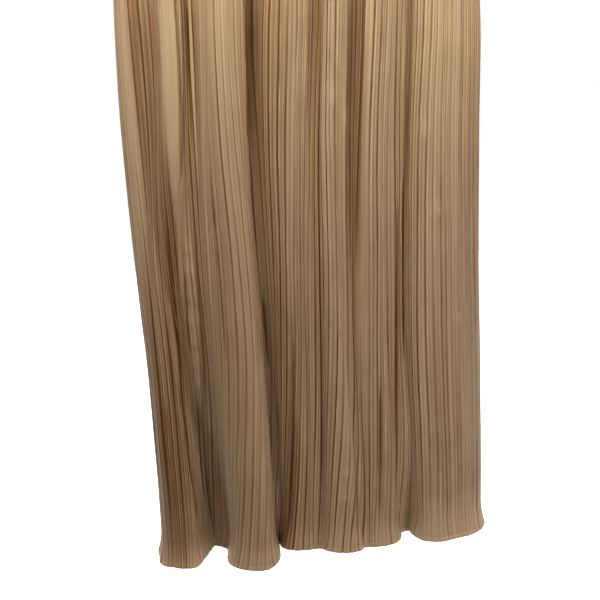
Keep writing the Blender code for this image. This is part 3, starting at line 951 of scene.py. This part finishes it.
def add_waistband(name):
    """The elastic band: a closed ring of gathered cloth, stitched into channels."""
    count = GATHERS * GATHER_STEPS
    draw = random.Random(BAND_SEED)
    widths = [1 + GATHER_UNEVENNESS * draw.uniform(-1, 1) for _ in range(GATHERS)]
    edges = np.concatenate([[0.0], np.cumsum(widths)]) / sum(widths)
    steps = np.arange(count) / GATHER_STEPS
    turn = np.interp(steps, np.arange(GATHERS + 1), edges)
    bearings = even_bearings(turn * 2 * PLEATS, BAND_HEIGHT / 2)
    heights = np.array([1 + HEIGHT_UNEVENNESS * draw.uniform(-1, 1) for _ in range(GATHERS)])
    ridge = (0.5 - 0.5 * np.cos(2 * np.pi * (steps % 1.0))) * heights[steps.astype(int)]
    rings = []
    channel = BAND_HEIGHT / CHANNELS
    for row in range(BAND_ROWS + 1):
        drop = BAND_HEIGHT * row / BAND_ROWS
        within = (drop % channel) / channel
        puff = math.sin(math.pi * within) ** 0.7 if 0 < within < 1 else 0.0
        waves = soft_noise(BAND_SEED + 10, steps, 3.0, [drop], 0.02)[0]
        gathered = ridge * (STITCHED_DOWN + (1 - STITCHED_DOWN) * puff)
        out = BAND_CLEARANCE + puff * BAND_PUFF + gathered * GATHER_HEIGHT + waves * BAND_WAVES
        rings.append((drop, out))
    for row in BAND_INSIDE:
        out = -BAND_THICKNESS * row.inset - ridge * GATHER_INSIDE
        rings.append((BAND_HEIGHT * row.drop, out))
    points = []
    for drop, out in rings:
        side = outward(body_points(bearings - NEARBY, drop), body_points(bearings + NEARBY, drop))
        plan = body_points(bearings, drop) + side * (out + BAND_THICKNESS / 2)[:, None]
        points.append(np.column_stack([plan, np.full(count, -drop)]))
    points = np.array(points)
    faces = []
    for ring in range(len(points)):
        here, below = ring * count, (ring + 1) % len(points) * count
        for left in range(count):
            right = (left + 1) % count
            faces.append((here + left, below + left, below + right, here + right))
    band = new_mesh_object(name, points.reshape(-1, 3).tolist(), faces)
    down = np.arange(len(points))[:, None] * BAND_HEIGHT / BAND_ROWS
    give_cloth_map(
        band.data,
        np.broadcast_to(steps * BAND_CLOTH_PER_GATHER, points.shape[:2]),
        np.broadcast_to(down, points.shape[:2]),
    )
    tones = np.array([draw.uniform(0, 1) for _ in range(GATHERS)])[steps.astype(int)]
    # The crease value here is painted shade in the hollows between the gathers; the tone is random.
    for key, values in (
        ("crease", np.clip(0.6 - ridge, 0, 1)),
        ("tone", tones),
        ("shade", np.zeros(count)),
        ("lit", np.zeros(count)),
    ):
        give_point_values(band.data, key, np.broadcast_to(values, points.shape[:2]))
    return band


class Tree:
    """A material's nodes, added and linked by name."""

    def __init__(self, name):
        self.material = bpy.data.materials.new(name)
        self.material.use_nodes = True
        self.nodes = self.material.node_tree.nodes
        self.shader = self.nodes["Principled BSDF"]

    def feed(self, node, **inputs):
        """Links or sets inputs by their names, with _ for a space, or by number after i."""
        for key, value in inputs.items():
            number = key[1:] if key[0] == "i" else None
            socket = node.inputs[int(number) if number else key.replace("_", " ")]
            if isinstance(value, bpy.types.NodeSocket):
                self.material.node_tree.links.new(value, socket)
            else:
                socket.default_value = value
        return node

    def add(self, kind, settings=None, **inputs):
        """A new node with its settings and inputs."""
        node = self.nodes.new(kind)
        for key, value in (settings or {}).items():
            setattr(node, key, value)
        return self.feed(node, **inputs)

    def surface(self, **inputs):
        """Inputs of the material's own shader."""
        self.feed(self.shader, **inputs)

    def given(self, key):
        """A value that the mesh carries under a name."""
        return self.add("ShaderNodeAttribute", {"attribute_name": key}).outputs["Fac"]

    def noise(self, place, scale, detail=2.0):
        """Noise at a place."""
        return self.add("ShaderNodeTexNoise", Vector=place, Scale=scale, Detail=detail).outputs[0]

    def part(self, value, low, high):
        """A value from 0 to 1 brought between low and high."""
        return self.add("ShaderNodeMapRange", Value=value, To_Min=low, To_Max=high).outputs[0]

    def total(self, first, second, operation="ADD"):
        """Two values put together."""
        return self.add("ShaderNodeMath", {"operation": operation}, i0=first, i1=second).outputs[0]

    def blend(self, share, first, second):
        """A colour between two, by a share."""
        mix = self.add("ShaderNodeMix", {"data_type": "RGBA"}, i0=share, i6=first, i7=second)
        return mix.outputs[2]

    def bump(self, height, strength, distance):
        """A bumpy surface on the material's own shader."""
        node = self.add("ShaderNodeBump", Strength=strength, Distance=distance, Height=height)
        self.surface(Normal=node.outputs[0])


def satin(name, light, dark, roughness):
    """Satin woven in fine upright threads, with painted shade, darker and warmer, in its creases
    and deep folds, and painted highlights on the pleats' lips, ridges and hem.
    """
    tree = Tree(name)
    cloth_map = tree.add("ShaderNodeUVMap", {"uv_map": "cloth"}).outputs[0]

    def woven(sizes, detail=2.0):
        """Noise on the flat cloth."""
        place = tree.add("ShaderNodeMapping", Vector=cloth_map, Scale=sizes).outputs[0]
        return tree.noise(place, 1.0, detail)

    thread, streak = woven(THREADS), woven(STREAKS)
    # Random streak, tone and cloud values, painted shade from creases and folds, painted highlights.
    shade = tree.part(streak, *STREAK_SHADE)
    for value in (
        tree.part(tree.given("crease"), *CREASE_SHADE),
        tree.part(tree.given("tone"), *TONE_SHADE),
        tree.total(tree.given("shade"), DEEP_SHADE, "MULTIPLY"),
        tree.part(tree.given("lit"), *LIT_SHADE),
        tree.part(woven(CLOUDS, 3.0), *CLOUD_SHADE),
    ):
        shade = tree.total(shade, value)
    tree.surface(
        Base_Color=tree.blend(shade, light, dark),
        Roughness=tree.part(streak, roughness - ROUGHNESS_RANGE, roughness + ROUGHNESS_RANGE),
        Sheen_Weight=0.03,
        Sheen_Roughness=0.4,
        Sheen_Tint=(0.95, 0.85, 0.72, 1.0),
        Specular_IOR_Level=0.34,
    )
    relief = tree.total(tree.part(thread, 0.0, 0.25), tree.part(streak, 0.0, 1.0))
    relief = tree.total(relief, tree.part(woven(CRUMPLES), 0.0, 2.2))
    tree.bump(relief, 0.55, 0.3 * MM)
    return tree.material


def thread_material(name, colour):
    """Twisted sewing thread."""
    tree = Tree(name)
    twist = tree.noise(tree.add("ShaderNodeTexCoord").outputs["Object"], 2600.0)
    shaded = tuple(0.7 * c for c in colour[:3]) + (1.0,)
    tree.surface(Base_Color=tree.blend(twist, colour, shaded), Roughness=0.45)
    tree.bump(twist, 0.4, 0.1 * MM)
    return tree.material


def put_on(piece, material):
    """Gives a piece its one material."""
    piece.data.materials.clear()
    piece.data.materials.append(material)


def build_skirt():
    """The two panels with their hem stitches, and the band."""
    cloth = satin("pleated_satin", (0.622, 0.421, 0.241, 1.0), (0.218, 0.089, 0.020, 1.0), 0.40)
    band_cloth = satin("band_satin", (0.560, 0.385, 0.225, 1.0), (0.215, 0.095, 0.026, 1.0), 0.42)
    thread = thread_material("thread", (0.36, 0.24, 0.145, 1.0))
    for name, node, first, seed in (
        ("front_cloth", "front_panel", 0, 11),
        ("back_cloth", "back_panel", PLEATS, 23),
    ):
        panel, points = add_panel(name, first, seed)
        put_on(panel, cloth)
        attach(panel, "root")
        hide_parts(node)
        stitches = add_hem_stitches(name.replace("cloth", "hem_stitches"), points)
        put_on(stitches, thread)
        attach(stitches, "root")
    band = add_waistband("waistband_cloth")
    put_on(band, band_cloth)
    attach(band, "root")
    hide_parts("waistband")


# The camera's angles in degrees, what it aims at, how far off it is on the level, and its lens.
CAMERA_AZIMUTH = -6.5
CAMERA_TILT = 13.8
CAMERA_ROLL = 2.4
CAMERA_AIM = Vector((-0.0118, 0.0, -0.674))
CAMERA_REACH = 0.963
CAMERA_LENS = 50.0
CAMERA_SENSOR = 36.0


def add_camera():
    """The camera at the photo's angle."""
    azimuth, tilt, roll = (
        math.radians(angle) for angle in (CAMERA_AZIMUTH, CAMERA_TILT, CAMERA_ROLL)
    )
    back = Vector(
        (math.sin(azimuth) * math.cos(tilt), -math.cos(azimuth) * math.cos(tilt), math.sin(tilt))
    )
    level = (-back).cross(Vector((0, 0, 1))).normalized()
    upright = level.cross(-back)
    right = math.cos(roll) * level - math.sin(roll) * upright
    up = math.sin(roll) * level + math.cos(roll) * upright
    place = CAMERA_AIM + back * CAMERA_REACH / math.cos(tilt)
    data = bpy.data.cameras.new("camera")
    data.lens = CAMERA_LENS
    data.sensor_width = CAMERA_SENSOR
    camera = bpy.data.objects.new("camera", data)
    bpy.context.scene.collection.objects.link(camera)
    turn = Matrix((right, up, back)).transposed().to_4x4()
    camera.matrix_world = Matrix.Translation(place) @ turn
    bpy.context.scene.camera = camera


# Soft lights, with power in watts and spread in degrees.
Light = namedtuple("Light", "name place target size power spread")
WIDE, SMALL, TINY = (0.4, 0.2), (0.2, 0.15), (0.15, 0.15)
LIGHTS = named(Light, (
    ("top_right", (0.35, -0.50, 0.0), (0.12, -0.10, -0.42), WIDE, 1.40, 120),
    ("top_left", (-0.35, -0.50, 0.0), (-0.12, -0.10, -0.42), WIDE, 1.17, 120),
    ("near_left", (-0.27, -0.36, -0.06), (-0.16, -0.10, -0.38), SMALL, 0.68, 180),
    ("near_right", (0.32, -0.36, -0.06), (0.19, -0.09, -0.38), SMALL, 0.22, 120),
    ("hem_right", (0.42, -0.48, -0.90), (0.17, -0.03, -0.94), TINY, 0.36, 180),
    ("overhead", (0.0, 1.9, 1.7), (0.0, 1.9, -1.3), (5.0, 4.6), 85, 30),
))
AMBIENT = 0.01
FLOOR_GLOW = 0.93
FLOOR_CORNERS = [(-3, -2, -1.3), (3, -2, -1.3), (3, 3.4, -1.3), (-3, 3.4, -1.3)]


def add_light(light):
    """An area light that shines at its target and isn't seen itself."""
    data = bpy.data.lights.new(light.name, "AREA")
    data.shape = "RECTANGLE"
    data.size, data.size_y = light.size
    data.energy = light.power
    data.spread = math.radians(light.spread)
    lamp = bpy.data.objects.new(light.name, data)
    bpy.context.scene.collection.objects.link(lamp)
    lamp.location = light.place
    aim = Vector(light.target) - Vector(light.place)
    lamp.rotation_mode = "QUATERNION"
    lamp.rotation_quaternion = aim.to_track_quat("-Z", "Y")
    lamp.visible_camera = False


def add_backdrop():
    """A white surrounding that lights the skirt only faintly."""
    world = bpy.data.worlds.new("studio")
    world.use_nodes = True
    bpy.context.scene.world = world
    nodes, links = world.node_tree.nodes, world.node_tree.links
    background = nodes["Background"]
    background.inputs["Color"].default_value = (1.0, 1.0, 1.0, 1.0)
    path = nodes.new("ShaderNodeLightPath")
    strength = nodes.new("ShaderNodeMapRange")
    strength.inputs["To Min"].default_value = AMBIENT
    strength.inputs["To Max"].default_value = 1.0
    links.new(path.outputs["Is Camera Ray"], strength.inputs["Value"])
    links.new(strength.outputs[0], background.inputs["Strength"])


def add_floor():
    """A pale floor that looks as white as the backdrop but lights nothing."""
    floor = new_mesh_object("floor", FLOOR_CORNERS, [(0, 1, 2, 3)], smooth=False)
    tree = Tree("floor")
    grain = tree.noise(tree.add("ShaderNodeTexCoord").outputs["Object"], 40.0, 3.0)
    seen = tree.add("ShaderNodeLightPath").outputs["Is Camera Ray"]
    tree.surface(
        Base_Color=tree.blend(grain, (0.86, 0.86, 0.86, 1.0), (0.90, 0.90, 0.90, 1.0)),
        Roughness=0.8,
        Emission_Color=(1.0, 1.0, 1.0, 1.0),
        Emission_Strength=tree.part(seen, 0.0, FLOOR_GLOW),
    )
    put_on(floor, tree.material)


def add_studio():
    """Plain soft light, a white surrounding and a pale floor."""
    bpy.context.scene.view_settings.view_transform = "Standard"
    add_backdrop()
    for light in LIGHTS:
        add_light(light)
    add_floor()


build_skirt()
add_camera()
add_studio()
